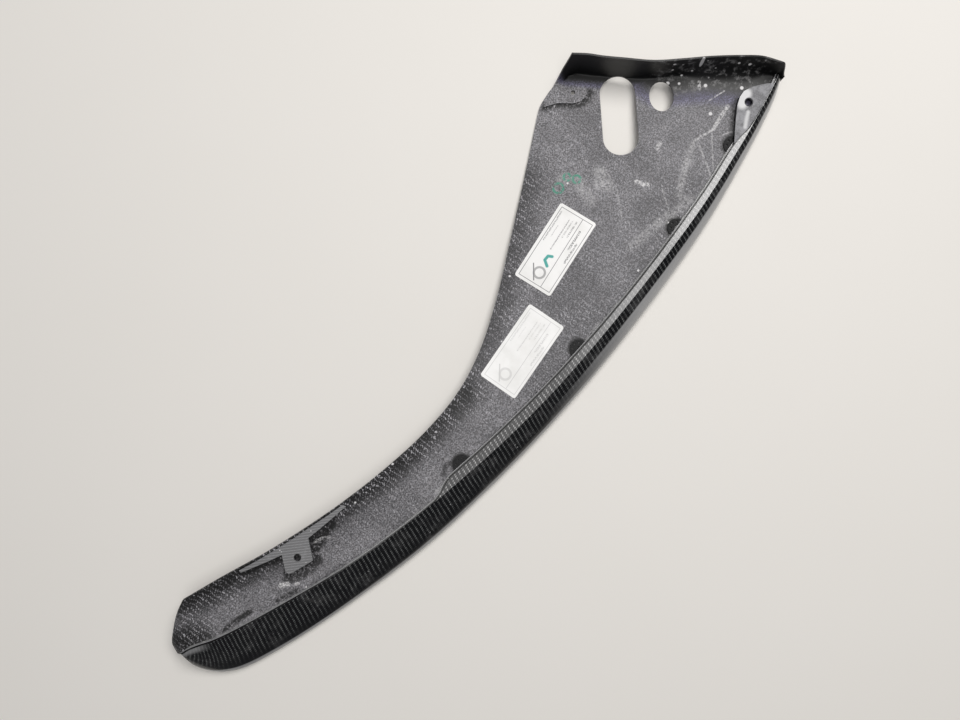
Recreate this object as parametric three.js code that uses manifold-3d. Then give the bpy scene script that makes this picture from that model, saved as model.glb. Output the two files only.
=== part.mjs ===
// Carbon-fibre aero panel: a boomerang-shaped single skin whose convex leading edge is a
// hollow bonded nose, with bonded brackets, fastener discs, a doubler pad and two labels.
// It lies as it would on a bench, inner side up. Millimetres, +Z up, +X from tail to root.
import * as THREE from "three";
import { mergeVertices } from "three/addons/utils/BufferGeometryUtils.js";
import Module from "manifold-3d";

const wasm = await Module();
wasm.setup();

// ---- driving dimensions --------------------------------------------------------------

const SKIN_THICKNESS = 2.2;
const SHELL_THICKNESS = 2.0;
const GAP = 0.3; // between every two neighbouring pieces
const FOOT_WIDTH = 2.2; // flat foot of the nose shell that is bonded to the web
// The upturned root end: its height, and the run of skin that climbs to it at each part of it.
const WALL = { top: 50, dropAtNose: 22, run: 14, runAtNose: 10, runAtBracket: 34, runAtCorner: 48 };
const NOSE_END_INSET = 4.6; // nose shell stops this far short of the root wall's rim

const SLOT = { centre: [328, 90], length: 97.6, width: 42.5, angle: 48.5 };
const OVAL = { centre: [379.5, 70], length: 36.8, width: 29, angle: 49.5 };
const PAD_HOLE = { centre: [310, 150], diameter: 5.5 };
const TAB_HOLE = { centre: [-315, -12.5], diameter: 9 };
const EAR_HOLE = { centre: [441, -9.1], diameter: 10.6 };

const DISC = { diameter: 22, bore: 6.4, thickness: 1.2, holes: 8, holeDiameter: 3, holeRadius: 7.4 };
// Each disc's fraction of the panel's run, and how far its centre lies under the foot.
const DISC_SPOTS = [[0.44, 1], [0.627, 1], [0.801, 1], [0.909, 2.2]];
const LABEL = { length: 104, width: 50, corner: 3, thickness: 0.25 };
const LABEL_PLACES = [
  { name: "label_upper", centre: [158, 30], angle: 12.2 },
  { name: "label_lower", centre: [43, -28], angle: 10.2 },
];
const PAD_THICKNESS = 1.8;
const PLATE_THICKNESS = 2.4; // both brackets
const TAB_TOP = 42; // top face of the tail bracket
const EAR_TOP = 32.6; // top face of the root bracket
const SLEEVE = { bore: 8.4, outside: 10, length: 4, recess: 0.4 };
const BOND_MARGIN = 0.3; // adhesive stays this far inside the foot's edges
const BOND_ENDS = [0.03, 0.98]; // places where the foot's adhesive starts and stops
const BOND_BREAK = 0.0135; // and how far short of each disc it stops
const BOND_THICKNESS = 0.6; // adhesive under the root bracket's skirt
const SKIRT_LIFT = BOND_THICKNESS + 2 * GAP;
const SEAM_GAP = 2.2; // between the skin's lip and the nose shell
const STRIP_THICKNESS = 1.2; // backing strip behind that seam
const BRACKET_PLACES = [0.16, 0.215, 0.255, 0.32]; // tail bracket: end, tab, tab, end
const STRIP_INSET = 3; // the tail bracket's strip starts this far inside the free edge
const TAB_CORNERS = [[-304.6, -27.7], [-333, -20.5], [-336, -18.5], [-336.8, -14.5]];
const EAR_POCKET_SHARE = 0.66; // the pocket under the ear, as a share of the ear

// Plan outline of the leading edge, tail to root.
const leadingEdge = new THREE.CatmullRomCurve3(
  [
    [-509, -4], [-505, -24], [-495, -41], [-485, -51], [-466, -62.5], [-405.5, -80.6],
    [-310, -99.7], [-199, -114.7], [-80, -118.7], [40, -115], [160.4, -102.9], [300.6, -80.4],
    [401, -54], [453, -37.5], [476, -28.5], [495, -18],
  ].map(([x, y]) => new THREE.Vector3(x, y, 0)),
  false,
  "centripetal",
);

// Plan outline of the free edge: the tail's end, the concave side, and the cut root corner.
const freeEdge = new THREE.CurvePath();
const freeEdgePieces = [
  [[-505, 13], [-500, 20], [-483, 31], [-464, 41.5], [-445, 48]],
  [[-445, 48], [-399, 36], [-330, 16.5], [-248, -1], [-172, -11], [-102, -14], [-43, -8],
    [9, 8.5], [65, 37], [129, 76.5], [193, 117], [262, 162]],
  [[262, 162], [271, 167], [302, 174], [318, 177.5], [328, 177]],
];
for (const piece of freeEdgePieces) {
  const points = piece.map(([x, y]) => new THREE.Vector3(x, y, 0));
  freeEdge.add(new THREE.CatmullRomCurve3(points, false, "centripetal"));
}

// Plan outline of the root wall's rim, leading edge to free edge.
const rootRim = new THREE.CatmullRomCurve3(
  [
    [495, -18], [495.5, -8], [490, 4], [482, 18], [468, 33], [443, 57], [416, 80], [390, 103], [368, 129],
    [351, 149.5], [341, 163], [328, 177],
  ].map(([x, y]) => new THREE.Vector3(x, y, 0)),
  false,
  "centripetal",
);
for (const curve of [leadingEdge, freeEdge, rootRim]) curve.arcLengthDivisions = 1000;

// A smooth function through [place, value] pairs; a place runs from 0 at the tail to 1 at the root.
function smoothTable(pairs) {
  const places = pairs.map((pair) => pair[0]);
  const values = pairs.map((pair) => pair[1]);
  const interpolant = new THREE.CubicInterpolant(places, values, 1);
  return (place) => interpolant.evaluate(place)[0];
}

const ridgeWidth = smoothTable([
  [0, 8], [0.02, 28], [0.04, 43], [0.056, 49], [0.072, 50.6], [0.093, 50.5], [0.13, 49.5],
  [0.161, 48.3], [0.192, 46.5], [0.225, 44], [0.264, 42.2], [0.315, 41], [0.365, 39.3],
  [0.42, 37], [0.464, 34.6], [0.514, 32.4], [0.562, 30.5], [0.611, 29], [0.66, 27.5],
  [0.709, 26], [0.758, 24.5], [0.806, 22.2], [0.854, 19.4], [0.9, 16.7], [0.92, 15.3],
  [0.94, 14.5], [0.96, 13.4], [0.98, 11.7], [1, 8],
]);
const ridgeHeight = smoothTable([
  [0, 20], [0.02, 29], [0.05, 34], [0.1, 35], [0.5, 35], [0.8, 34], [0.92, 31], [1, 29],
]);
const landWidth = smoothTable([
  [0, 0.3], [0.35, 0.3], [0.373, 0.3], [0.385, 0.7], [0.395, 3.2], [0.406, 7.8], [0.418, 11.4],
  [0.43, 12], [0.471, 12.4], [0.521, 12.5], [0.569, 11.7], [0.617, 10.6], [0.665, 9.2],
  [0.714, 8.6], [0.763, 8.6], [0.811, 9.1], [0.859, 8.5], [0.9, 7.9], [0.911, 7.2], [0.92, 5],
  [0.928, 1.8], [0.938, 0.6], [0.96, 0.5], [1, 0.5],
]);
const stepHeight = smoothTable([
  [0, 0.4], [0.35, 0.4], [0.38, 0.6], [0.42, 2.2], [0.6, 2.4], [1, 2.4],
]);
const bondHeight = smoothTable([[0, 1], [0.3, 1], [0.38, 1.9], [0.7, 1.9], [1, 1.9]]);
const seamHeight = smoothTable([[0, 6], [0.1, 5.5], [0.3, 5.5], [0.6, 6.5], [1, 6.5]]);
const rimHeight = smoothTable([
  [0, 14], [0.02, 24], [0.04, 32], [0.077, 40], [0.15, 41], [0.3, 40], [0.39, 37], [0.47, 32],
  [0.54, 26], [0.6, 20], [0.67, 14], [0.76, 8], [0.84, 3.5], [0.93, 0.6], [1, 0],
]);
const webCurl = smoothTable([[0, 1.4], [0.1, 2.3], [0.35, 2.3], [0.6, 1.4], [0.8, 1.3], [1, 1.3]]);
const channelDip = smoothTable([[0, 0], [0.08, 2], [0.15, 4], [0.35, 3], [0.5, 0], [1, 0]]);
// How blunt the nose is: the share of its height that stands upright, and of its width that
// the straight bevel below the ridge takes.
const noseUpright = smoothTable([[0, 0.3], [0.1, 0.22], [0.35, 0.3], [0.7, 0.55], [1, 0.55]]);
const bevelShare = smoothTable([[0, 0.6], [0.1, 0.85], [0.35, 0.75], [0.7, 0.5], [1, 0.5]]);
const BEVEL_SLOPE = 0.5;

// ---- the panel's surfaces ------------------------------------------------------------

const smoothstep = THREE.MathUtils.smoothstep;
const rootLine = new THREE.Line3(leadingEdge.getPointAt(1), freeEdge.getPointAt(1));
const STATION_LENGTH = 900; // mean run of the panel, used to turn a place into a distance

// A station is the straight line across the panel at one place along it.
function station(place) {
  const start = leadingEdge.getPointAt(place);
  const across = freeEdge.getPointAt(place).sub(start);
  const width = across.length();
  return { place, start, across: across.normalize(), width };
}

// The point a given distance across a station. The last stations bend to follow the root rim.
function planPoint(line, distance, height) {
  const share = THREE.MathUtils.clamp(distance / line.width, 0, 1);
  const bend = rootRim.getPointAt(share).sub(rootLine.at(share, new THREE.Vector3()));
  const point = line.start.clone().addScaledVector(line.across, distance);
  point.addScaledVector(bend, smoothstep(line.place, 0.86, 1));
  point.z = height;
  return point;
}

// The root wall lifts the skin over its last few millimetres, more gently beside the bracket.
function wallLift(line, distance, height) {
  const share = distance / line.width;
  const nearNose = 1 - smoothstep(share, 0, 0.1);
  const besideBracket = smoothstep(share, 0.08, 0.2) * (1 - smoothstep(share, 0.3, 0.5));
  const atCorner = smoothstep(share, 0.95, 1);
  const run =
    WALL.run +
    (WALL.runAtNose - WALL.run) * nearNose +
    (WALL.runAtBracket - WALL.run) * besideBracket +
    (WALL.runAtCorner - WALL.run) * atCorner;
  const steepness = 4 + 4 * (1 - smoothstep(share, 0, 0.15));
  const inset = (1 - line.place) * STATION_LENGTH;
  const climb = Math.pow(Math.max(0, 1 - inset / run), steepness);
  const top = WALL.top - WALL.dropAtNose * (1 - smoothstep(share, 0, 0.05));
  return height + (top - height) * climb;
}

const footStart = (place) => ridgeWidth(place) + landWidth(place) + 0.6;
const footEnd = (place) => footStart(place) + FOOT_WIDTH;
// Height of the web's inner face under the nose shell's foot.
const webTop = (place) =>
  ridgeHeight(place) - stepHeight(place) - SHELL_THICKNESS - bondHeight(place);

// Outer (lower) face of the skin: round lip, rise under the nose, then the web.
function skinPoint(line, part, share) {
  const { place, width } = line;
  const lip = Math.min(7, 0.3 * footEnd(place));
  const webStart = footEnd(place) + 1;
  const webHeight = webTop(place) - SKIN_THICKNESS;
  let distance;
  let height;
  if (part === "lip") {
    const turn = (share * Math.PI) / 2;
    distance = lip * (1 - Math.cos(turn));
    height = (seamHeight(place) - SEAM_GAP) * (1 - Math.sin(turn));
  } else if (part === "rise") {
    distance = THREE.MathUtils.lerp(lip, webStart, share);
    height = webHeight * (1.8 * share ** 2 - 0.8 * share ** 3);
  } else {
    distance = THREE.MathUtils.lerp(webStart, width, share);
    height = webHeight + (rimHeight(place) - webHeight) * Math.pow(share, webCurl(place));
    height -= channelDip(place) * Math.sin(Math.PI * Math.sqrt(share));
  }
  return planPoint(line, distance, wallLift(line, distance, height));
}

// Outer (upper) face of the nose shell: seam, rounded bevel, ridge, land, step and foot.
function noseSection(line) {
  const { place } = line;
  const ridge = new THREE.Vector2(ridgeWidth(place), ridgeHeight(place));
  const seam = new THREE.Vector2(0, wallLift(line, 0, seamHeight(place)));
  const upright = seam.clone();
  upright.y += noseUpright(place) * (ridge.y - seam.y);
  const bevel = bevelShare(place) * ridge.x;
  const shoulder = new THREE.Vector2(ridge.x - bevel, ridge.y - bevel * BEVEL_SLOPE);
  const flank = new THREE.CubicBezierCurve(seam, upright, shoulder, ridge).getPoints(8);
  const landEnd = ridge.x + landWidth(place);
  const footHeight = ridge.y - stepHeight(place);
  return [
    ...flank,
    new THREE.Vector2(landEnd, ridge.y - 0.1),
    new THREE.Vector2(footStart(place), footHeight),
    new THREE.Vector2(footEnd(place), footHeight),
  ].map((point) => planPoint(line, point.x, point.y));
}

// ---- solids --------------------------------------------------------------------------

function toManifold(geometry) {
  const plain = new THREE.BufferGeometry();
  plain.setAttribute("position", geometry.getAttribute("position"));
  if (geometry.index) plain.setIndex(geometry.index);
  const merged = mergeVertices(plain, 1e-4);
  const mesh = new wasm.Mesh({
    numProp: 3,
    vertProperties: new Float32Array(merged.getAttribute("position").array),
    triVerts: new Uint32Array(merged.index.array),
  });
  return new wasm.Manifold(mesh);
}

function toGeometry(manifold) {
  const mesh = manifold.getMesh();
  const geometry = new THREE.BufferGeometry();
  geometry.setAttribute("position", new THREE.BufferAttribute(mesh.vertProperties, 3));
  geometry.setIndex(new THREE.BufferAttribute(mesh.triVerts, 1));
  return geometry;
}

// The surface normal at each point of a grid of rows (tail to root) by columns (across).
function gridNormals(grid) {
  const rows = grid.length - 1;
  const columns = grid[0].length - 1;
  return grid.map((row, i) =>
    row.map((_, j) => {
      const along = new THREE.Vector3().subVectors(
        grid[Math.min(i + 1, rows)][j],
        grid[Math.max(i - 1, 0)][j],
      );
      const across = new THREE.Vector3().subVectors(
        grid[i][Math.min(j + 1, columns)],
        grid[i][Math.max(j - 1, 0)],
      );
      return along.cross(across).normalize();
    }),
  );
}

function offsetGrid(grid, distance) {
  const normals = gridNormals(grid);
  return grid.map((row, i) =>
    row.map((point, j) => point.clone().addScaledVector(normals[i][j], distance)),
  );
}

const shiftGrid = (grid, height) =>
  grid.map((row) => row.map((point) => point.clone().setZ(point.z + height)));

// The closed solid between a lower and an upper grid of the same shape.
function solidBetween(lower, upper) {
  const rows = lower.length;
  const columns = lower[0].length;
  const corner = (side, i, j) => side * rows * columns + i * columns + j;
  const indices = [];
  const quad = (a, b, c, d) => indices.push(a, b, c, a, c, d);
  for (let i = 0; i + 1 < rows; i++) {
    for (let j = 0; j + 1 < columns; j++) {
      quad(corner(1, i, j), corner(1, i + 1, j), corner(1, i + 1, j + 1), corner(1, i, j + 1));
      quad(corner(0, i, j), corner(0, i, j + 1), corner(0, i + 1, j + 1), corner(0, i + 1, j));
    }
  }
  for (let i = 0; i + 1 < rows; i++) {
    const last = columns - 1;
    quad(corner(0, i, 0), corner(0, i + 1, 0), corner(1, i + 1, 0), corner(1, i, 0));
    quad(corner(0, i, last), corner(1, i, last), corner(1, i + 1, last), corner(0, i + 1, last));
  }
  for (let j = 0; j + 1 < columns; j++) {
    const last = rows - 1;
    quad(corner(0, 0, j), corner(1, 0, j), corner(1, 0, j + 1), corner(0, 0, j + 1));
    quad(corner(0, last, j), corner(0, last, j + 1), corner(1, last, j + 1), corner(1, last, j));
  }
  const geometry = new THREE.BufferGeometry();
  const points = [...lower.flat(), ...upper.flat()];
  geometry.setFromPoints(points);
  geometry.setIndex(indices);
  return toManifold(geometry);
}

function extrude(shape, low, high) {
  const options = { depth: high - low, bevelEnabled: false, curveSegments: 8 };
  return toManifold(new THREE.ExtrudeGeometry(shape, options).translate(0, 0, low));
}

function roundedRectangle(length, width, radius) {
  const [x, y] = [length / 2, width / 2];
  const shape = new THREE.Shape();
  shape.absarc(x - radius, -y + radius, radius, -Math.PI / 2, 0);
  shape.absarc(x - radius, y - radius, radius, 0, Math.PI / 2);
  shape.absarc(-x + radius, y - radius, radius, Math.PI / 2, Math.PI);
  shape.absarc(-x + radius, -y + radius, radius, Math.PI, 1.5 * Math.PI);
  return shape;
}

function ellipse(length, width) {
  return new THREE.Shape().absellipse(0, 0, length / 2, width / 2, 0, 2 * Math.PI);
}

const circle = (diameter) => ellipse(diameter, diameter);

function polygon(points) {
  return new THREE.Shape(points.map(([x, y]) => new THREE.Vector2(x, y)));
}

// A vertical prism of a shape, turned and moved to its place in plan.
function prism(shape, centre, angle = 0, low = -20, high = 80) {
  return extrude(shape, low, high).rotate([0, 0, angle]).translate([...centre, 0]);
}

const TAIL_PLACES = [0, 0.008, 0.018, 0.028, 0.04, 0.052, 0.064, 0.077];
const RIM_SHARES = [0.95, 0.98]; // extra columns that round the skin's corners
const WALL_INSETS = [34, 27, 21, 16, 12, 9, 6.6, 4.6, 3, 1.6, 0.6, 0];

function skinPlaces() {
  const wall = WALL_INSETS.map((inset) => 1 - inset / STATION_LENGTH);
  const first = TAIL_PLACES.at(-1);
  const steps = 44;
  const middle = [];
  for (let i = 1; i < steps; i++) middle.push(THREE.MathUtils.lerp(first, wall[0], i / steps));
  return [...TAIL_PLACES, ...middle, ...wall];
}

function skinGrid() {
  const parts = [["lip", 3], ["rise", 6], ["web", 11]];
  return skinPlaces().map((place) => {
    const line = station(place);
    const row = [skinPoint(line, "lip", 0)];
    for (const [part, steps] of parts) {
      for (let k = 1; k <= steps; k++) row.push(skinPoint(line, part, k / steps));
    }
    const rim = row.pop();
    return [...row, ...RIM_SHARES.map((share) => skinPoint(line, "web", share)), rim];
  });
}

const skinOuter = skinGrid();
const skinInner = offsetGrid(skinOuter, SKIN_THICKNESS);
const SKIN_DEPTH = 60;

// Everything below the inner face raised by some height: what bonded pieces are cut to.
const belowInner = (height) =>
  solidBetween(shiftGrid(skinInner, -SKIN_DEPTH), shiftGrid(skinInner, height));

// A patch that follows the inner face: the part of a prism between two heights above it.
function patch(outline, low, high) {
  const slab = solidBetween(shiftGrid(skinInner, low), shiftGrid(skinInner, high));
  return slab.intersect(outline);
}

// ---- the pieces ----------------------------------------------------------------------

const materials = {
  roughCarbon: { color: 0x5b5a60, roughness: 0.6, metalness: 0.1 },
  glossCarbon: { color: 0x15151a, roughness: 0.2, metalness: 0.1 },
  bracketCarbon: { color: 0x46464c, roughness: 0.45, metalness: 0.1 },
  adhesive: { color: 0x9a9a98, roughness: 0.7, metalness: 0 },
  blackSteel: { color: 0x222226, roughness: 0.5, metalness: 0.8 },
  paper: { color: 0xe8e8e6, roughness: 0.8, metalness: 0 },
};

const panel = new THREE.Group();

function add(name, material, solid) {
  const mesh = new THREE.Mesh(toGeometry(solid), new THREE.MeshStandardMaterial(materials[material]));
  mesh.name = name;
  panel.add(mesh);
}

function stadium(length, width) {
  return roundedRectangle(length, width, width / 2 - 0.01);
}

function outerSkin() {
  const slot = prism(stadium(SLOT.length, SLOT.width), SLOT.centre, SLOT.angle);
  const oval = prism(ellipse(OVAL.length, OVAL.width), OVAL.centre, OVAL.angle);
  const padHole = prism(circle(PAD_HOLE.diameter), PAD_HOLE.centre);
  return solidBetween(skinOuter, skinInner).subtract(slot).subtract(oval).subtract(padHole);
}

function noseGrid() {
  const end = 1 - NOSE_END_INSET / STATION_LENGTH;
  const steps = 72;
  const places = TAIL_PLACES.slice(2, -1);
  for (let i = 0; i <= steps; i++) {
    places.push(THREE.MathUtils.lerp(TAIL_PLACES.at(-1), end, i / steps));
  }
  return places.map((place) => noseSection(station(place)));
}

function noseShell() {
  return solidBetween(offsetGrid(noseOuter, -SHELL_THICKNESS), noseOuter);
}

// A strip bonded inside the nose shell along its lower edge, behind the seam.
function seamStrip() {
  const edge = (depth) =>
    offsetGrid(noseOuter, -SHELL_THICKNESS - depth).slice(4, -2).map((row) => row.slice(0, 4));
  return solidBetween(edge(GAP + STRIP_THICKNESS), edge(GAP));
}

// A strip of adhesive under the foot between two places.
function footBond(from, to) {
  const steps = Math.max(4, Math.round((to - from) * 50));
  const rows = { lower: [], upper: [] };
  for (let i = 0; i <= steps; i++) {
    const line = station(THREE.MathUtils.lerp(from, to, i / steps));
    const low = webTop(line.place) + GAP;
    const high = low + bondHeight(line.place) - 2 * GAP;
    const reach = [footStart(line.place) + BOND_MARGIN, footEnd(line.place) - BOND_MARGIN];
    rows.lower.push(reach.map((distance) => planPoint(line, distance, low)));
    rows.upper.push(reach.map((distance) => planPoint(line, distance, high)));
  }
  return solidBetween(rows.lower, rows.upper);
}

// A many-sided ring of points round a centre.
function ring(diameter, sides, centre = [0, 0]) {
  const points = [];
  for (let i = 0; i < sides; i++) {
    const turn = (i / sides) * 2 * Math.PI;
    const [x, y] = [Math.cos(turn), Math.sin(turn)].map((part) => (part * diameter) / 2);
    points.push([centre[0] + x, centre[1] + y]);
  }
  return points;
}

function fastenerDisc(place, tuck) {
  const centre = planPoint(station(place), footEnd(place) - tuck, 0);
  const shape = polygon(ring(DISC.diameter, 28));
  shape.holes.push(polygon(ring(DISC.bore, 12)));
  for (const hole of ring(2 * DISC.holeRadius, DISC.holes)) {
    shape.holes.push(polygon(ring(DISC.holeDiameter, 8, hole)));
  }
  const low = webTop(place) + GAP;
  return prism(shape, [centre.x, centre.y], 0, low, low + DISC.thickness);
}

// Everything below the flat plane that touches the web's inner face, raised, at three spots.
function belowWebPlane(spots, height) {
  const lift = new THREE.Vector3(0, 0, SKIN_THICKNESS + height);
  const corners = spots.map(([place, share]) => skinPoint(station(place), "web", share).add(lift));
  const plane = new THREE.Plane().setFromCoplanarPoints(...corners);
  const turn = new THREE.Quaternion().setFromUnitVectors(new THREE.Vector3(0, 0, 1), plane.normal);
  const block = new THREE.BoxGeometry(400, 400, 100).translate(0, 0, -50);
  return toManifold(block.applyQuaternion(turn).translate(...corners[0].toArray()));
}

// Doubler pad in the root corner, between the cut corner's edge and the root wall.
function hardpointPad() {
  const outline = polygon([
    [273, 163], [288, 154.5], [300, 141], [307, 136], [315, 135], [321, 138], [325, 144],
    [331, 153], [320, 167], [303, 169], [286, 166.5],
  ]);
  const spots = [[0.94, 0.8], [0.965, 0.8], [0.95, 0.98]];
  const hole = prism(circle(PAD_HOLE.diameter), PAD_HOLE.centre);
  const slab = belowWebPlane(spots, GAP + PAD_THICKNESS).subtract(belowInner(GAP));
  return prism(outline, [0, 0]).intersect(slab).subtract(hole);
}

// The tail bracket's plan: a strip that follows the free edge, and a tab that reaches inwards.
function tailBracketOutline() {
  const along = (from, to, depth) => {
    const points = [];
    for (let i = 0; i <= 6; i++) {
      const line = station(THREE.MathUtils.lerp(from, to, i / 6));
      const point = planPoint(line, line.width - depth(i / 6), 0);
      points.push([point.x, point.y]);
    }
    return points;
  };
  const [tailEnd, tabTail, tabRoot, rootEnd] = BRACKET_PLACES;
  return [
    ...along(tailEnd, rootEnd, () => STRIP_INSET),
    ...along(rootEnd, tabRoot, (share) => 7 + 6 * share),
    ...TAB_CORNERS,
    ...along(tabTail, tailEnd, (share) => 13 - 6 * share),
  ];
}

function tailBracket() {
  const plate = prism(polygon(tailBracketOutline()), [0, 0], 0, TAB_TOP - PLATE_THICKNESS, TAB_TOP);
  const hole = prism(circle(TAB_HOLE.diameter), TAB_HOLE.centre);
  return plate.subtract(belowInner(GAP)).subtract(hole);
}

// The wedge of adhesive between the tail bracket's strip and the skin's curled edge.
function tailBracketBond() {
  const [, tabTail, tabRoot] = BRACKET_PLACES;
  const rows = { lower: [], upper: [] };
  for (let i = 0; i <= 8; i++) {
    const line = station(THREE.MathUtils.lerp(tabTail - 0.02, tabRoot + 0.02, i / 8));
    const points = [11.5, 9.5].map((depth) => planPoint(line, line.width - depth, 0));
    rows.lower.push(points.map((point) => point.clone().setZ(0)));
    rows.upper.push(points.map((point) => point.clone().setZ(TAB_TOP - PLATE_THICKNESS - GAP)));
  }
  return solidBetween(rows.lower, rows.upper).subtract(belowInner(GAP));
}

// Points beside the nose shell, from one place down to another, a given distance across.
function besideNose(from, to, reach) {
  const points = [];
  for (let i = 0; i <= 5; i++) {
    const place = THREE.MathUtils.lerp(from, to, i / 5);
    const point = planPoint(station(place), reach(place) + GAP, 0);
    points.push([point.x, point.y]);
  }
  return points;
}

// The root bracket's plan: an ear beside the nose shell's land.
const earOutline = () => [
  [398.6, -27.5], [416.8, -11.7], [428.9, -2.1], [437.9, 2.7], [446.1, 4.2], [455.9, 1.1],
  [465.5, -4.5], [472.2, -9.1], ...besideNose(0.982, 0.909, footStart),
];

// The skirt under the ear, clear of the nose shell's foot and of the last fastener disc.
const skirtOutline = () => [
  [416.8, -11.7], [428.9, -2.1], [437.9, 2.7], [446.1, 4.2], [455.9, 1.1], [465.5, -4.5],
  ...besideNose(0.972, 0.94, footEnd),
];

// The skirt's plan drawn in towards the ear's hole, which leaves a pocket inside it.
function earPocket() {
  const [x, y] = EAR_HOLE.centre;
  const drawnIn = skirtOutline().map((point) => [
    x + (point[0] - x) * EAR_POCKET_SHARE,
    y + (point[1] - y) * EAR_POCKET_SHARE,
  ]);
  return prism(polygon(drawnIn), [0, 0], 0, 0, EAR_TOP - PLATE_THICKNESS);
}

const earSkirt = () => prism(polygon(skirtOutline()), [0, 0], 0, 0, EAR_TOP).subtract(earPocket());

function rootBracket() {
  const plate = prism(polygon(earOutline()), [0, 0], 0, EAR_TOP - PLATE_THICKNESS, EAR_TOP);
  const hole = prism(circle(EAR_HOLE.diameter), EAR_HOLE.centre);
  return earSkirt().subtract(belowInner(SKIRT_LIFT)).add(plate).subtract(hole);
}

const rootBracketBond = () => patch(earSkirt(), GAP, GAP + BOND_THICKNESS);

// Steel sleeve in the ear's hole.
function earSleeve() {
  const [inner, outer] = [SLEEVE.bore / 2, SLEEVE.outside / 2];
  const top = EAR_TOP - SLEEVE.recess;
  const profile = [
    [inner, top - SLEEVE.length], [outer, top - SLEEVE.length], [outer, top], [inner, top],
    [inner, top - SLEEVE.length],
  ].map(([radius, height]) => new THREE.Vector2(radius, height));
  const sleeve = toManifold(new THREE.LatheGeometry(profile, 24).rotateX(Math.PI / 2));
  return sleeve.translate([...EAR_HOLE.centre, 0]);
}

const noseOuter = noseGrid();

add("outer_skin", "roughCarbon", outerSkin());
add("nose_shell", "glossCarbon", noseShell());
add("seam_backing_strip", "roughCarbon", seamStrip());
DISC_SPOTS.forEach(([place, tuck], i) => {
  add(`fastener_disc_${i + 1}`, "blackSteel", fastenerDisc(place, tuck));
});
const bondBreaks = DISC_SPOTS.flatMap(([place]) => [place - BOND_BREAK, place + BOND_BREAK]);
const bondEnds = [BOND_ENDS[0], ...bondBreaks, BOND_ENDS[1]];
for (let i = 0; 2 * i < bondEnds.length; i++) {
  add(`foot_bond_${i + 1}`, "adhesive", footBond(bondEnds[2 * i], bondEnds[2 * i + 1]));
}
add("hardpoint_pad", "roughCarbon", hardpointPad());
add("tail_bracket", "bracketCarbon", tailBracket());
add("tail_bracket_bond", "adhesive", tailBracketBond());
add("root_bracket", "glossCarbon", rootBracket());
add("root_bracket_bond", "adhesive", rootBracketBond());
add("root_bracket_sleeve", "blackSteel", earSleeve());
for (const { name, centre, angle } of LABEL_PLACES) {
  const outline = roundedRectangle(LABEL.length, LABEL.width, LABEL.corner);
  add(name, "paper", patch(prism(outline, centre, angle), GAP, GAP + LABEL.thickness));
}

// The origin is the middle of the footprint, on the surface that the panel rests on.
const footprint = new THREE.Box3().setFromObject(panel);
const middle = footprint.getCenter(new THREE.Vector3());
panel.position.set(-middle.x, -middle.y, -footprint.min.z);

const part = new THREE.Group();
part.add(panel);

export default part;
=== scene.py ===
import math

import bmesh
import bpy
import numpy as np
from mathutils import Matrix, Vector


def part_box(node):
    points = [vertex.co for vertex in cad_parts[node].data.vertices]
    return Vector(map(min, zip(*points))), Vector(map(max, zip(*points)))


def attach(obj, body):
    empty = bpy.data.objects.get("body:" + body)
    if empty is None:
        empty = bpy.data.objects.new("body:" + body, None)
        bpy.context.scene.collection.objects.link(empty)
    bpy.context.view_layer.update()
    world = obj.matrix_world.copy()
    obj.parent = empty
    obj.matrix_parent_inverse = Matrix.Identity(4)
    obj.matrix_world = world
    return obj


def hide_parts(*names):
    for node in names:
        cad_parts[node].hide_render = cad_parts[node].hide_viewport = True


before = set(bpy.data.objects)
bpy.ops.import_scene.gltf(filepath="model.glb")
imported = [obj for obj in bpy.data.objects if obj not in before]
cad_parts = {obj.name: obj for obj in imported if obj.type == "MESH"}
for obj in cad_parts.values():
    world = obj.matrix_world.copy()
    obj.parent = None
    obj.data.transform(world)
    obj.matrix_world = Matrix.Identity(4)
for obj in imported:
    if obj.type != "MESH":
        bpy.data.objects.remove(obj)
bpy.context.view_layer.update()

MM = 0.001

# ---- the panel's surfaces, in millimetres in the same plan as the CAD source ---------------

SKIN_THICKNESS = 2.2
SHELL_THICKNESS = 2.0
FOOT_WIDTH = 2.2
SEAM_GAP = 2.2
BEVEL_SLOPE = 0.5
STATION_LENGTH = 900  # mean run of the panel, which turns a place into a distance
WALL_TOP = 50
WALL_DROP = 22  # how much lower the wall is where it meets the nose
RUN, RUN_AT_NOSE, RUN_AT_BRACKET, RUN_AT_CORNER = 14, 10, 34, 48  # how far the wall's curve reaches
STEEPNESS, STEEPNESS_AT_NOSE = 4, 8
TAIL_END, WALL_START = 0.077, 0.962  # places between which the stations are evenly spaced
NOSE_START = 0.018  # place where the nose shell begins
NOSE_END_INSET = 4.6
SLOT = ((328, 90), 97.6, 42.5, 48.5)  # centre, length, width, angle
OVAL = ((379.5, 70), 36.8, 29, 49.5)
PAD_HOLE = ((310, 150), 5.5)


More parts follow.
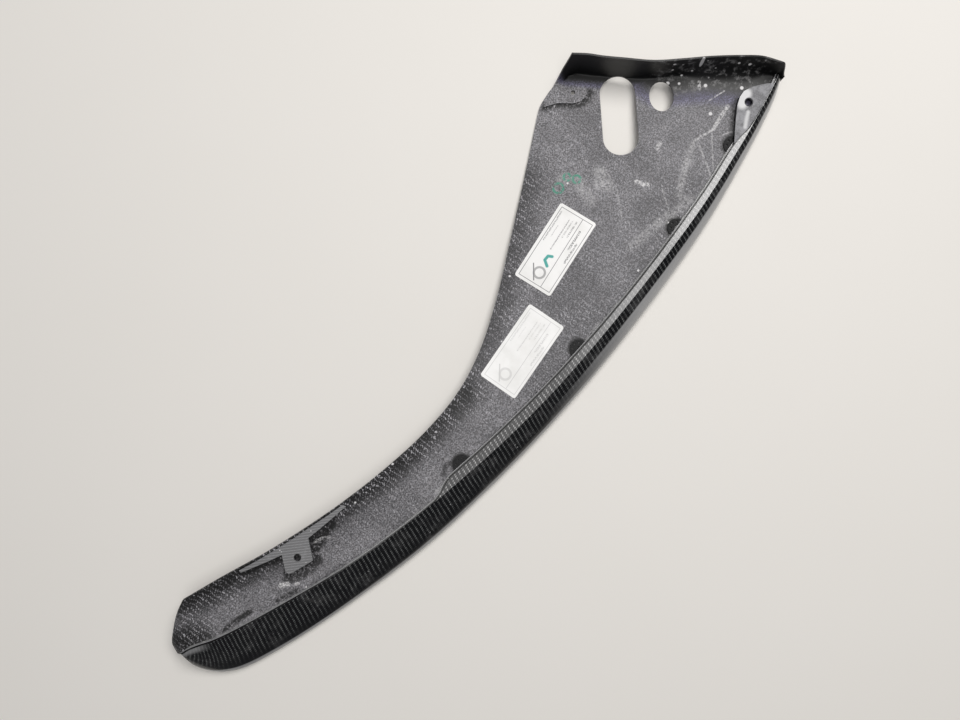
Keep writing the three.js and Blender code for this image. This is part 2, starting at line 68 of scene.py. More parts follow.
def catmull_rom(points, steps=120):
    """A centripetal Catmull-Rom curve through the points, as a dense polyline."""
    p = np.array(points, float)
    p = np.vstack([2 * p[0] - p[1], p, 2 * p[-1] - p[-2]])
    out = []
    for i in range(1, len(p) - 2):
        d = [max(np.linalg.norm(p[i + k] - p[i + k - 1]) ** 0.5, 1e-4) for k in (0, 1, 2)]
        a = (p[i] - p[i - 1]) / d[0] - (p[i + 1] - p[i - 1]) / (d[0] + d[1]) + (p[i + 1] - p[i]) / d[1]
        b = (p[i + 1] - p[i]) / d[1] - (p[i + 2] - p[i]) / (d[1] + d[2]) + (p[i + 2] - p[i + 1]) / d[2]
        a, b = a * d[1], b * d[1]
        t = np.linspace(0, 1, steps + 1)[:-1, None]
        third = 2 * p[i] - 2 * p[i + 1] + a + b
        out.append(p[i] + a * t + (-3 * p[i] + 3 * p[i + 1] - 2 * a - b) * t**2 + third * t**3)
    return np.vstack(out + [p[-2][None]])


class Outline:
    """A polyline read by its share of arc length."""

    def __init__(self, *pieces):
        self.points = np.vstack([catmull_rom(piece) for piece in pieces])
        run = np.linalg.norm(np.diff(self.points, axis=0), axis=1)
        self.share = np.concatenate([[0], np.cumsum(run)])
        self.length = self.share[-1]
        self.share /= self.length

    def at(self, share):
        return np.stack([np.interp(share, self.share, self.points[:, k]) for k in (0, 1)], -1)


leading_edge = Outline([
    (-509, -4), (-505, -24), (-495, -41), (-485, -51), (-466, -62.5), (-405.5, -80.6),
    (-310, -99.7), (-199, -114.7), (-80, -118.7), (40, -115), (160.4, -102.9), (300.6, -80.4),
    (401, -54), (453, -37.5), (476, -28.5), (495, -18),
])
free_edge = Outline(
    [(-505, 13), (-500, 20), (-483, 31), (-464, 41.5), (-445, 48)],
    [(-445, 48), (-399, 36), (-330, 16.5), (-248, -1), (-172, -11), (-102, -14), (-43, -8),
     (9, 8.5), (65, 37), (129, 76.5), (193, 117), (262, 162)],
    [(262, 162), (271, 167), (302, 174), (318, 177.5), (328, 177)],
)
root_rim = Outline([
    (495, -18), (495.5, -8), (490, 4), (482, 18), (468, 33), (443, 57), (416, 80), (390, 103),
    (368, 129), (351, 149.5), (341, 163), (328, 177),
])


def table(*pairs):
    """A smooth function through (place, value) pairs."""
    x, y = np.array(pairs, float).T

    def value(place):
        k = int(np.clip(np.searchsorted(x, place, side="right"), 1, len(x) - 1))
        x0, x1, y0, y1 = x[k - 1], x[k], y[k - 1], y[k]
        half = (x1 - x0) / 2
        before = (x[k - 2], y[k - 2]) if k > 1 else (x1, y1)
        after = (x[k + 1], y[k + 1]) if k + 1 < len(x) else (x0, y0)
        wp, wn = half / (x0 - before[0]), half / (after[0] - x1)
        t = (place - x0) / (x1 - x0)
        return (
            before[1] * (-wp * t**3 + 2 * wp * t**2 - wp * t)
            + y0 * ((1 + wp) * t**3 + (-1.5 - 2 * wp) * t**2 + (-0.5 + wp) * t + 1)
            + y1 * ((-1 - wn) * t**3 + (1.5 + wn) * t**2 + 0.5 * t)
            + after[1] * (wn * t**3 - wn * t**2)
        )

    return value


ridge_width = table(
    (0, 8), (0.02, 28), (0.04, 43), (0.056, 49), (0.072, 50.6), (0.093, 50.5), (0.13, 49.5),
    (0.161, 48.3), (0.192, 46.5), (0.225, 44), (0.264, 42.2), (0.315, 41), (0.365, 39.3),
    (0.42, 37), (0.464, 34.6), (0.514, 32.4), (0.562, 30.5), (0.611, 29), (0.66, 27.5),
    (0.709, 26), (0.758, 24.5), (0.806, 22.2), (0.854, 19.4), (0.9, 16.7), (0.92, 15.3),
    (0.94, 14.5), (0.96, 13.4), (0.98, 11.7), (1, 8),
)
ridge_height = table((0, 20), (0.02, 29), (0.05, 34), (0.1, 35), (0.5, 35), (0.8, 34), (0.92, 31), (1, 29))
land_width = table(
    (0, 0.3), (0.35, 0.3), (0.373, 0.3), (0.385, 0.7), (0.395, 3.2), (0.406, 7.8), (0.418, 11.4),
    (0.43, 12), (0.471, 12.4), (0.521, 12.5), (0.569, 11.7), (0.617, 10.6), (0.665, 9.2),
    (0.714, 8.6), (0.763, 8.6), (0.811, 9.1), (0.859, 8.5), (0.9, 7.9), (0.911, 7.2), (0.92, 5),
    (0.928, 1.8), (0.938, 0.6), (0.96, 0.5), (1, 0.5),
)
step_height = table((0, 0.4), (0.35, 0.4), (0.38, 0.6), (0.42, 2.2), (0.6, 2.4), (1, 2.4))
bond_height = table((0, 1), (0.3, 1), (0.38, 1.9), (0.7, 1.9), (1, 1.9))
seam_height = table((0, 6), (0.1, 5.5), (0.3, 5.5), (0.6, 6.5), (1, 6.5))
rim_height = table(
    (0, 14), (0.02, 24), (0.04, 32), (0.077, 40), (0.15, 41), (0.3, 40), (0.39, 37), (0.47, 32),
    (0.54, 26), (0.6, 20), (0.67, 14), (0.76, 8), (0.84, 3.5), (0.93, 0.6), (1, 0),
)
web_curl = table((0, 1.4), (0.1, 2.3), (0.35, 2.3), (0.6, 1.4), (0.8, 1.3), (1, 1.3))
channel_dip = table((0, 0), (0.08, 2), (0.15, 4), (0.35, 3), (0.5, 0), (1, 0))
nose_upright = table((0, 0.3), (0.1, 0.22), (0.35, 0.3), (0.7, 0.55), (1, 0.55))
bevel_share = table((0, 0.6), (0.1, 0.85), (0.35, 0.75), (0.7, 0.5), (1, 0.5))


def smoothstep(x, low, high):
    t = np.clip((x - low) / (high - low), 0, 1)
    return t * t * (3 - 2 * t)


class Station:
    """The straight line across the panel at one place along it."""

    def __init__(self, place):
        self.place = place
        self.start = leading_edge.at(place)
        across = free_edge.at(place) - self.start
        self.width = np.linalg.norm(across)
        self.across = across / self.width

    def points(self, distance, height):
        """Points at distances across the station. The last stations bend to follow the root rim."""
        distance, height = np.broadcast_arrays(np.asarray(distance, float), np.asarray(height, float))
        share = np.clip(distance / self.width, 0, 1)[..., None]
        chord = leading_edge.at(1.0) * (1 - share) + free_edge.at(1.0) * share
        bend = root_rim.at(share[..., 0]) - chord
        plan = self.start + distance[..., None] * self.across + bend * smoothstep(self.place, 0.86, 1)
        return np.concatenate([plan, height[..., None]], -1)

    def wall_lift(self, distance, height):
        """The root wall lifts the skin over its last few millimetres."""
        share = distance / self.width
        beside = smoothstep(share, 0.08, 0.2) * (1 - smoothstep(share, 0.3, 0.5))
        corner = smoothstep(share, 0.95, 1)
        run = RUN + (RUN_AT_NOSE - RUN) * (1 - smoothstep(share, 0, 0.1))
        run = run + (RUN_AT_BRACKET - RUN) * beside + (RUN_AT_CORNER - RUN) * corner
        steepness = STEEPNESS + (STEEPNESS_AT_NOSE - STEEPNESS) * (1 - smoothstep(share, 0, 0.15))
        climb = np.maximum(0, 1 - (1 - self.place) * STATION_LENGTH / run) ** steepness
        top = WALL_TOP - WALL_DROP * (1 - smoothstep(share, 0, 0.05))
        return height + (top - height) * climb


# The nose shell's foot is the narrow strip by which it is bonded to the web.
def foot_start(place):
    return ridge_width(place) + land_width(place) + 0.6


def foot_end(place):
    return foot_start(place) + FOOT_WIDTH


def web_top(place):
    return ridge_height(place) - step_height(place) - SHELL_THICKNESS - bond_height(place)


def skin_row(place):
    """Outer face of the skin across one station: round lip, rise under the nose, web."""
    line = Station(place)
    lip = min(7, 0.3 * foot_end(place))
    start = foot_end(place) + 1
    web = web_top(place) - SKIN_THICKNESS
    a, b, c = np.linspace(0, 1, 8), np.linspace(0, 1, 15)[1:], np.linspace(0, 1, 56)[1:]
    turn = a * math.pi / 2
    distance = np.concatenate([
        lip * (1 - np.cos(turn)),
        lip + (start - lip) * b,
        start + (line.width - start) * c,
    ])
    sag = channel_dip(place) * np.sin(math.pi * np.sqrt(c))
    height = np.concatenate([
        (seam_height(place) - SEAM_GAP) * (1 - np.sin(turn)),
        web * (1.8 * b**2 - 0.8 * b**3),
        web + (rim_height(place) - web) * c ** web_curl(place) - sag,
    ])
    return line.points(distance, line.wall_lift(distance, height))


FLANK_STEPS = 26


def nose_row(place):
    """Outer face of the nose shell across one station: seam, flank, ridge, land, step, foot."""
    line = Station(place)
    ridge = np.array([ridge_width(place), ridge_height(place)])
    seam = np.array([0, float(line.wall_lift(0.0, seam_height(place)))])
    upright = seam + [0, nose_upright(place) * (ridge[1] - seam[1])]
    bevel = bevel_share(place) * ridge[0]
    shoulder = ridge - [bevel, bevel * BEVEL_SLOPE]
    t = np.linspace(0, 1, FLANK_STEPS + 1)[:, None]
    flank = seam * (1 - t) ** 3 + 3 * upright * t * (1 - t) ** 2
    flank = flank + 3 * shoulder * t**2 * (1 - t) + ridge * t**3
    foot = ridge[1] - step_height(place)
    rest = [
        (ridge[0] + land_width(place), ridge[1] - 0.1),
        (foot_start(place), foot),
        (foot_end(place), foot),
    ]
    section = np.vstack([flank, rest])
    return line.points(section[:, 0], section[:, 1])


def offset(grid, distance):
    """The grid moved along its own normals."""
    along, across = grid.copy(), grid.copy()
    for out, axis in ((along, 0), (across, 1)):
        last = grid.shape[axis] - 1
        ahead = np.take(grid, [*range(1, last + 1), last], axis)
        behind = np.take(grid, [0, *range(last)], axis)
        out[:] = ahead - behind
    normal = np.cross(along, across)
    return grid + normal / np.linalg.norm(normal, axis=-1, keepdims=True) * distance


def cloth_lengths(grid):
    """Each point's distance along the edge and square across from it, in millimetres."""
    edge = grid[:, 0]
    tangent = np.gradient(edge, axis=0)
    tangent /= np.linalg.norm(tangent, axis=1, keepdims=True)
    along = np.concatenate([[0], np.cumsum(np.linalg.norm(np.diff(edge, axis=0), axis=1))])
    ahead = ((grid - edge[:, None]) * tangent[:, None]).sum(-1)
    steps = np.linalg.norm(np.diff(grid, axis=1), axis=2)
    square = np.sqrt(np.maximum(0, steps**2 - np.diff(ahead, axis=1) ** 2))
    across = np.concatenate([np.zeros((len(grid), 1)), np.cumsum(square, axis=1)], axis=1)
    return along[:, None] + ahead, across


# The CAD part stands on its lowest point, centred over its footprint.
tail = np.linspace(0, TAIL_END, 34)
skin_places = np.concatenate([
    tail,
    np.linspace(TAIL_END, WALL_START, 300)[1:],
    1 - np.linspace(RUN_AT_BRACKET, 0, 46)[1:] / STATION_LENGTH,
])
skin_outer = np.array([skin_row(p) for p in skin_places])
skin_inner = offset(skin_outer, SKIN_THICKNESS)
low = Vector(np.minimum(skin_outer, skin_inner).reshape(-1, 3).min(0)) * MM
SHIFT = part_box("outer_skin")[0] - low
SHIFT.z = 0
nose_end = 1 - NOSE_END_INSET / STATION_LENGTH
nose_places = np.concatenate([tail[tail >= NOSE_START], np.linspace(TAIL_END, nose_end, 420)[1:]])
nose_outer = np.array([nose_row(p) for p in nose_places])
nose_inner = offset(nose_outer, -SHELL_THICKNESS)

# ---- mesh helpers ----------------------------------------------------------------------------


def link(obj):
    bpy.context.scene.collection.objects.link(obj)
    return obj


def place_mesh(name, points, faces, smooth_angle=35):
    """An object from points in plan millimetres, smooth except at edges sharper than the angle."""
    mesh = bpy.data.meshes.new(name)
    mesh.from_pydata([Vector(p) * MM + SHIFT for p in points], [], faces)
    mesh.validate()
    bm = bmesh.new()
    bm.from_mesh(mesh)
    bmesh.ops.recalc_face_normals(bm, faces=bm.faces)
    bm.to_mesh(mesh)
    bm.free()
    mesh.shade_smooth()
    mesh.set_sharp_from_angle(angle=math.radians(smooth_angle))
    return link(bpy.data.objects.new(name, mesh))


def closed_faces(rows, columns):
    """Faces of the closed solid between two grids stacked one after the other."""

    def at(side, i, j):
        return side * rows * columns + i * columns + j

    faces = []
    for i in range(rows - 1):
        for j in range(columns - 1):
            faces.append((at(1, i, j), at(1, i + 1, j), at(1, i + 1, j + 1), at(1, i, j + 1)))
            faces.append((at(0, i, j), at(0, i, j + 1), at(0, i + 1, j + 1), at(0, i + 1, j)))
        for j in (0, columns - 1):
            faces.append((at(0, i, j), at(0, i + 1, j), at(1, i + 1, j), at(1, i, j)))
    for j in range(columns - 1):
        for i in (0, rows - 1):
            faces.append((at(0, i, j), at(1, i, j), at(1, i, j + 1), at(0, i, j + 1)))
    return faces


def solid_between(name, lower, upper, **kwargs):
    points = np.concatenate([lower.reshape(-1, 3), upper.reshape(-1, 3)])
    return place_mesh(name, points, closed_faces(*lower.shape[:2]), **kwargs)


def prism(name, ring, low=-30, high=90):
    """The upright solid over a closed ring, long enough to cut right through the panel."""
    count = len(ring)
    points = [(x, y, low) for x, y in ring] + [(x, y, high) for x, y in ring]
    faces = [tuple(range(count))[::-1], tuple(range(count, 2 * count))]
    faces += [(i, (i + 1) % count, (i + 1) % count + count, i + count) for i in range(count)]
    return place_mesh(name, points, faces)


def turned_ring(centre, angle, points):
    """Points turned by an angle in degrees and moved to a centre."""
    cos, sin = math.cos(math.radians(angle)), math.sin(math.radians(angle))
    return [(centre[0] + x * cos - y * sin, centre[1] + x * sin + y * cos) for x, y in points]


def arc(radius_x, radius_y, start, end, steps, centre=(0, 0)):
    turns = np.linspace(math.radians(start), math.radians(end), steps)
    return [(centre[0] + radius_x * math.cos(t), centre[1] + radius_y * math.sin(t)) for t in turns]


def cut(obj, cutters):
    """Cuts the holes, then keeps the cut mesh as the object's own."""
    for cutter in cutters:
        modifier = obj.modifiers.new("hole", "BOOLEAN")
        modifier.operation = "DIFFERENCE"
        modifier.solver = "EXACT"
        modifier.object = cutter
    graph = bpy.context.evaluated_depsgraph_get()
    mesh = bpy.data.meshes.new_from_object(obj.evaluated_get(graph))
    obj.modifiers.clear()
    obj.data = mesh
    mesh.shade_smooth()
    mesh.set_sharp_from_angle(angle=math.radians(35))
    for cutter in cutters:
        bpy.data.objects.remove(cutter)


def line_masks(points, lines):
    """Each point's strength in a set of soft lines, each (corners, width, soft, weight)."""
    total = np.zeros(len(points))
    for corners, width, soft, weight in lines:
        for a, b in zip(np.array(corners[:-1], float), np.array(corners[1:], float)):
            run = b - a
            share = np.clip((points - a) @ run / max(run @ run, 1e-9), 0, 1)
            gap = np.linalg.norm(points - a - share[:, None] * run, axis=1)
            total = np.maximum(total, weight * (1 - smoothstep(gap, width / 2, width / 2 + soft)))
    return total


# ---- shader helpers --------------------------------------------------------------------------


class Shader:
    """A node tree with short ways to add the nodes that the finishes share."""

    def __init__(self, tree):
        self.tree = tree

    def node(self, kind, inputs=None, **settings):
        node = self.tree.nodes.new("ShaderNode" + kind)
        for key, value in settings.items():
            setattr(node, key, value)
        for key, value in (inputs or {}).items():
            self.feed(node.inputs[key], value)
        return node

    def feed(self, socket, value):
        if isinstance(value, bpy.types.NodeSocket):
            self.tree.links.new(value, socket)
        else:
            socket.default_value = value

    def math(self, operation, *values, clamp=False):
        node = self.node("Math", dict(enumerate(values)), operation=operation, use_clamp=clamp)
        return node.outputs[0]

    def vector(self, operation, *values, output=0):
        node = self.node("VectorMath", operation=operation)
        for k, value in enumerate(values):
            socket = node.inputs["Scale"] if operation == "SCALE" and k == 1 else node.inputs[k]
            self.feed(socket, value)
        return node.outputs[output]

    def ramp(self, value, low, high, to_low=0.0, to_high=1.0):
        inputs = {0: value, 1: low, 2: high, 3: to_low, 4: to_high}
        return self.node("MapRange", inputs, interpolation_type="SMOOTHSTEP").outputs[0]

    def noise(self, vector, scale, detail=3.0, roughness=0.55):
        inputs = {"Vector": vector, "Scale": scale, "Detail": detail, "Roughness": roughness}
        return self.node("TexNoise", inputs).outputs[0]

    def mix(self, factor, a, b):
        """A mix of two numbers."""
        return self.node("Mix", {0: factor, 2: a, 3: b}, data_type="FLOAT").outputs[0]

    def tint(self, factor, a, b):
        """A mix of two colours, each a socket or three numbers."""
        a, b = [(*c, 1.0) if isinstance(c, tuple) else c for c in (a, b)]
        node = self.node("Mix", {0: factor}, data_type="RGBA")
        self.feed(node.inputs[6], a)
        self.feed(node.inputs[7], b)
        return node.outputs[2]

    def group(self, tree, **inputs):
        node = self.tree.nodes.new("ShaderNodeGroup")
        node.node_tree = tree
        for key, value in inputs.items():
            self.feed(node.inputs[key], value)
        return node


def node_group(name, inputs, outputs):
    tree = bpy.data.node_groups.new(name, "ShaderNodeTree")
    for key, kind in inputs:
        tree.interface.new_socket(key, in_out="INPUT", socket_type="NodeSocket" + kind)
    for key in outputs:
        tree.interface.new_socket(key, in_out="OUTPUT", socket_type="NodeSocketFloat")
    shader = Shader(tree)
    return shader, tree.nodes.new("NodeGroupInput"), tree.nodes.new("NodeGroupOutput")


def twill_group():
    """2x2 twill. P is in tow widths. Lift is the cloth's height, Warp the warp's share on top."""
    s, source, sink = node_group("twill", [("P", "Vector")], ["Lift", "Warp"])
    split = s.node("SeparateXYZ", {0: source.outputs["P"]})
    x, y = split.outputs[0], split.outputs[1]
    column, row = s.math("FLOOR", x), s.math("FLOOR", y)
    phase = s.math("FLOORED_MODULO", s.math("ADD", column, row), 4.0)
    warp = s.math("LESS_THAN", phase, 2.0)

    def hump(value):
        centred = s.math("SUBTRACT", s.math("MULTIPLY", value, 2.0), 1.0)
        return s.math("SUBTRACT", 1.0, s.math("POWER", s.math("ABSOLUTE", centred), 2.4))

    along_warp = s.math("MULTIPLY", s.math("FLOORED_MODULO", s.math("ADD", column, y), 4.0), 0.5)
    shifted = s.math("SUBTRACT", s.math("FLOORED_MODULO", s.math("ADD", x, row), 4.0), 2.0)
    along_weft = s.math("MULTIPLY", shifted, 0.5)
    over_warp = s.math("MULTIPLY", hump(s.math("FRACT", x)), hump(along_warp))
    over_weft = s.math("MULTIPLY", hump(s.math("FRACT", y)), hump(along_weft))
    s.feed(sink.inputs["Lift"], s.mix(warp, over_weft, over_warp))
    s.feed(sink.inputs["Warp"], warp)
    return s.tree


def stroke_group():
    """A mask round the segment from A to B: 1 within Width / 2 of it, falling to 0 over Soft."""
    inputs = [("P", "Vector"), ("A", "Vector"), ("B", "Vector"), ("Width", "Float"), ("Soft", "Float")]
    s, source, sink = node_group("stroke", inputs, ["Mask"])
    p, a, b, width, soft = [source.outputs[k] for k in range(5)]
    ahead, run = s.vector("SUBTRACT", p, a), s.vector("SUBTRACT", b, a)
    dots = [s.vector("DOT_PRODUCT", v, run, output=1) for v in (ahead, run)]
    share = s.math("DIVIDE", *dots, clamp=True)
    gap = s.vector("LENGTH", s.vector("SUBTRACT", ahead, s.vector("SCALE", run, share)), output=1)
    edge = s.math("SUBTRACT", gap, s.math("MULTIPLY", width, 0.5))
    s.feed(sink.inputs["Mask"], s.ramp(s.math("DIVIDE", edge, soft), 0.0, 1.0, 1.0, 0.0))
    return s.tree


TWILL, STROKE = twill_group(), stroke_group()


class Finish(Shader):
    """A material with a Principled shader, read in plan millimetres."""

    def __init__(self, name, **values):
        self.material = bpy.data.materials.new(name)
        self.material.use_nodes = True
        super().__init__(self.material.node_tree)
        self.shader = self.tree.nodes["Principled BSDF"]
        for key, value in values.items():
            self.shader.inputs[key.replace("_", " ")].default_value = value
        position = self.node("TexCoord").outputs["Object"]
        moved = self.vector("SUBTRACT", position, tuple(SHIFT))
        self.place = self.vector("SCALE", moved, 1000.0)
        self.plan = self.vector("MULTIPLY", self.place, (1.0, 1.0, 0.0))

    def set(self, **sockets):
        for key, value in sockets.items():
            self.feed(self.shader.inputs[key.replace("_", " ")], value)

    def bump(self, height, depth, strength=1.0):
        """Relief of a height field that runs from 0 to 1, with its depth in millimetres."""
        node = self.node("Bump", {"Height": height, "Distance": depth * MM, "Strength": strength})
        self.set(Normal=node.outputs[0])

    def stroke(self, where, a, b, width, soft=0.6):
        values = {"P": where, "A": (*a, 0.0), "B": (*b, 0.0), "Width": float(width), "Soft": float(soft)}
        return self.group(STROKE, **values).outputs[0]

    def strokes(self, where, lines):
        """The union of polylines, each (points, width, soft, weight)."""
        total = None
        for points, width, soft, weight in lines:
            for a, b in zip(points, points[1:]):
                mask = self.math("MULTIPLY", self.stroke(where, a, b, width, soft), weight)
                total = mask if total is None else self.math("MAXIMUM", total, mask)
        return total

    def specks(self, where, spacing, size, share):
        """Round dots about size across, one in each share of the cells of that spacing."""
        cells = self.node("TexVoronoi", {"Vector": where, "Scale": 1 / spacing, "Randomness": 1.0})
        dot = self.ramp(cells.outputs["Distance"], size / spacing * 0.35, size / spacing * 0.55, 1.0, 0.0)
        red = self.node("SeparateColor", {0: cells.outputs["Color"]}).outputs[0]
        return self.math("MULTIPLY", dot, self.math("LESS_THAN", red, share))

    def turned(self, angle, where=None):
        node = self.node("VectorRotate", {"Vector": where or self.plan, "Angle": math.radians(angle)})
        node.rotation_type = "Z_AXIS"
        return node.outputs[0]


# ---- finishes --------------------------------------------------------------------------------

TOW = 2.0  # width of one tow of the cloth
PRINT_TOW = 2.2  # the same, as the cloth prints through on the bag side
WHITE_DUST = (0.76, 0.75, 0.76)


def rough_carbon():
    """Bag side of the laminate: grey, grained, scratched, with the cloth's print, and painted shade on the
    root wall's inner face. The skin's tone and grime attributes hold its soft masks; the grime attribute's
    first two parts are painted shadows, with some dark marks, and painted shade under the discs."""
    f = Finish("rough_carbon", Specular_IOR_Level=0.5, IOR=1.5)
    fine = f.noise(f.place, 0.55, 4.0, 0.75)
    cloudy = f.noise(f.place, 0.035, 3.0, 0.6)
    broad = f.noise(f.place, 0.011, 2.0, 0.5)
    shifting = f.node("TexNoise", {"Vector": f.place, "Scale": 0.11, "Detail": 4.0}).outputs["Color"]
    laid = f.vector("ADD", f.turned(38), f.vector("SCALE", shifting, 11.0))
    twill = f.group(TWILL, P=f.vector("SCALE", laid, 1 / PRINT_TOW))
    imprint = f.math("MULTIPLY", twill.outputs["Lift"], f.mix(twill.outputs["Warp"], 0.55, 1.0))
    ragged = f.noise(f.place, 0.3, 4.0, 0.7)
    tone = f.node("Attribute", attribute_name="tone").outputs["Vector"]
    grime = f.node("Attribute", attribute_name="grime").outputs["Vector"]
    coarse_edge, middle, near_wall = f.node("SeparateXYZ", {0: tone}).outputs
    # The grime attribute's channels: painted shadows with some dark marks, painted shade under the discs,
    # and smears of dust.
    shadows_and_dark_marks, shade_under_discs, smears = f.node("SeparateXYZ", {0: grime}).outputs
    # The wall strokes mark the root wall's inner face, whose colour is painted near-black as painted
    # shade, fading out onto the web.
    wall = f.strokes(f.plan, [
        ([(494, -10), (443, 57), (404, 92)], 42, 30, 1.0),
        ([(404, 92), (368, 129), (330, 174)], 24, 14, 1.0),
    ])
    printed = f.math("MULTIPLY", coarse_edge, f.math("SUBTRACT", 1.0, f.math("MULTIPLY", middle, 0.8)))
    printed = f.math("MAXIMUM", printed, f.ramp(broad, 0.45, 0.65, 0.0, 0.3))

    speckle = f.ramp(fine, 0.38, 0.62)
    patchy = f.ramp(f.noise(f.place, 0.06, 4.0, 0.65), 0.4, 0.62, 0.25, 1.15)
    strands = f.ramp(f.math("MULTIPLY", imprint, f.ramp(fine, 0.3, 0.6, 0.5, 1.3)), 0.4, 1.0)
    level = f.ramp(cloudy, 0.3, 0.7, 0.85, 1.18)
    faint = f.mix(f.ramp(cloudy, 0.38, 0.58, 0.15, 1.0), 1.0, f.mix(imprint, 0.74, 1.3))
    smooth = f.math("MULTIPLY", f.math("MULTIPLY", f.mix(speckle, 0.075, 0.335), level), faint)
    cloth = f.mix(f.math("MULTIPLY", strands, f.mix(0.5, 1.0, speckle)), 0.010, 0.52)
    shade = f.mix(printed, smooth, f.math("MULTIPLY", cloth, patchy))
    # Painted shade: the shadows, the dark marks and the shade under the discs darken the web.
    shadows_and_dark_marks = f.math("MULTIPLY", shadows_and_dark_marks, f.ramp(ragged, 0.36, 0.52))
    shade = f.math("MULTIPLY", shade, f.mix(f.math("MAXIMUM", shadows_and_dark_marks, shade_under_discs), 1.0, 0.06))
    # Painted shade: the root wall's inner face darkened almost to black.
    shade = f.math("MULTIPLY", shade, f.mix(wall, 1.0, 0.012))

    scratches = f.strokes(f.plan, [
        ([(424, 5), (409, 2), (393, -2)], 2.6, 2.0, 0.9),
        ([(391, -2), (380, 1), (366, 4)], 1.6, 1.5, 0.7),
        ([(369, 1), (360, -18), (350, -39)], 0.9, 1.2, 0.6),
        ([(387, -5), (359, -34)], 0.8, 1.0, 0.5),
        ([(435, 21), (413, 26)], 0.6, 0.9, 0.8),
        ([(406, -20), (391, -13)], 0.5, 0.9, 0.6),
        ([(298, -10), (285, -33)], 0.5, 1.0, 0.5),
        ([(330, -46), (303, -55)], 0.6, 1.0, 0.4),
        ([(126, -72), (124, -84), (113, -98)], 1.4, 1.6, 0.7),
        ([(270, 60), (262, 30), (240, 0)], 0.6, 1.2, 0.35),
        ([(-357, -22), (-350, -27)], 4.0, 2.0, 1.0),
        ([(-343, -34), (-341, -35)], 2.5, 1.5, 0.9),
        ([(-290, -14), (-281, -17), (-274, -22)], 1.0, 2.0, 0.8),
        ([(284, 19), (287, 10)], 3.2, 1.5, 1.0),
        ([(291, 9), (290, 5)], 1.8, 1.5, 1.0),
        ([(336, 31), (330, 29)], 3.0, 2.5, 0.8),
        ([(422, 50), (417, 44)], 2.5, 1.5, 0.9),
        ([(-300, -4), (-288, 4), (-283, -4)], 0.8, 1.4, 0.8),
    ])
    broken = f.ramp(f.noise(f.place, 0.35, 5.0, 0.8), 0.4, 0.6)
    scratches = f.math("MULTIPLY", f.math("MAXIMUM", scratches, smears), broken)
    stretched = f.vector("MULTIPLY", f.turned(-52), (0.05, 1.2, 1.0))
    hairlines = f.ramp(f.noise(stretched, 0.55, 3.0, 0.7), 0.71, 0.8, 0.0, 0.3)
    dots = f.math("MULTIPLY", f.specks(f.place, 9.0, 4.6, 0.3), near_wall)
    dots = f.math("MAXIMUM", dots, f.specks(f.place, 16.0, 3.0, 0.16))
    dust = f.math("MAXIMUM", f.math("MAXIMUM", scratches, dots), hairlines)
    lumps = f.ramp(f.noise(f.place, 0.12, 5.0, 0.7), 0.5, 0.66)
    smudge = f.math("MULTIPLY", f.math("MULTIPLY", near_wall, lumps), 0.22)
    dust = f.math("MAXIMUM", dust, smudge)
    drop_spots = (403.8, 13.4), (451.9, 8.7), (431, 63)
    drops = f.strokes(f.plan, [([spot, spot], 3.4, 0.8, 1.0) for spot in drop_spots])
    dust = f.math("MAXIMUM", dust, drops)

    grey = f.tint(f.noise(f.place, 0.3), (1.03, 0.975, 1.02), (0.965, 0.975, 1.06))
    # A purple tint along the fringe of the painted wall shade.
    fading = f.math("MULTIPLY", wall, f.math("SUBTRACT", 1.0, wall))
    grey = f.tint(f.math("MULTIPLY", fading, 3.0, clamp=True), grey, (0.85, 0.80, 1.35))
    base = f.vector("SCALE", grey, shade)
    base = f.tint(dust, base, WHITE_DUST)
    pen = None
    for centre, radius in (((214.0, 80.0), 6.0), ((237.0, 72.0), 4.6), ((231.0, 82.0), 4.2)):
        from_centre = f.vector("LENGTH", f.vector("SUBTRACT", f.plan, (*centre, 0.0)), output=1)
        loop = f.ramp(f.math("ABSOLUTE", f.math("SUBTRACT", from_centre, radius)), 0.5, 2.2, 0.8, 0.0)
        pen = loop if pen is None else f.math("MAXIMUM", pen, loop)
    base = f.tint(f.math("MULTIPLY", pen, f.ramp(ragged, 0.38, 0.52)), base, (0.05, 0.33, 0.22))
    f.set(Base_Color=base)
    rough = f.ramp(fine, 0.3, 0.7, 0.42, 0.66)
    f.set(Roughness=f.mix(wall, f.mix(dust, rough, 0.8), f.mix(dust, 0.5, 0.7)))
    relief = f.mix(printed, f.math("MULTIPLY", speckle, 0.5), f.mix(0.5, imprint, speckle))
    f.bump(f.math("MULTIPLY", relief, f.mix(wall, 1.0, 0.1)), 0.28)
    return f.material


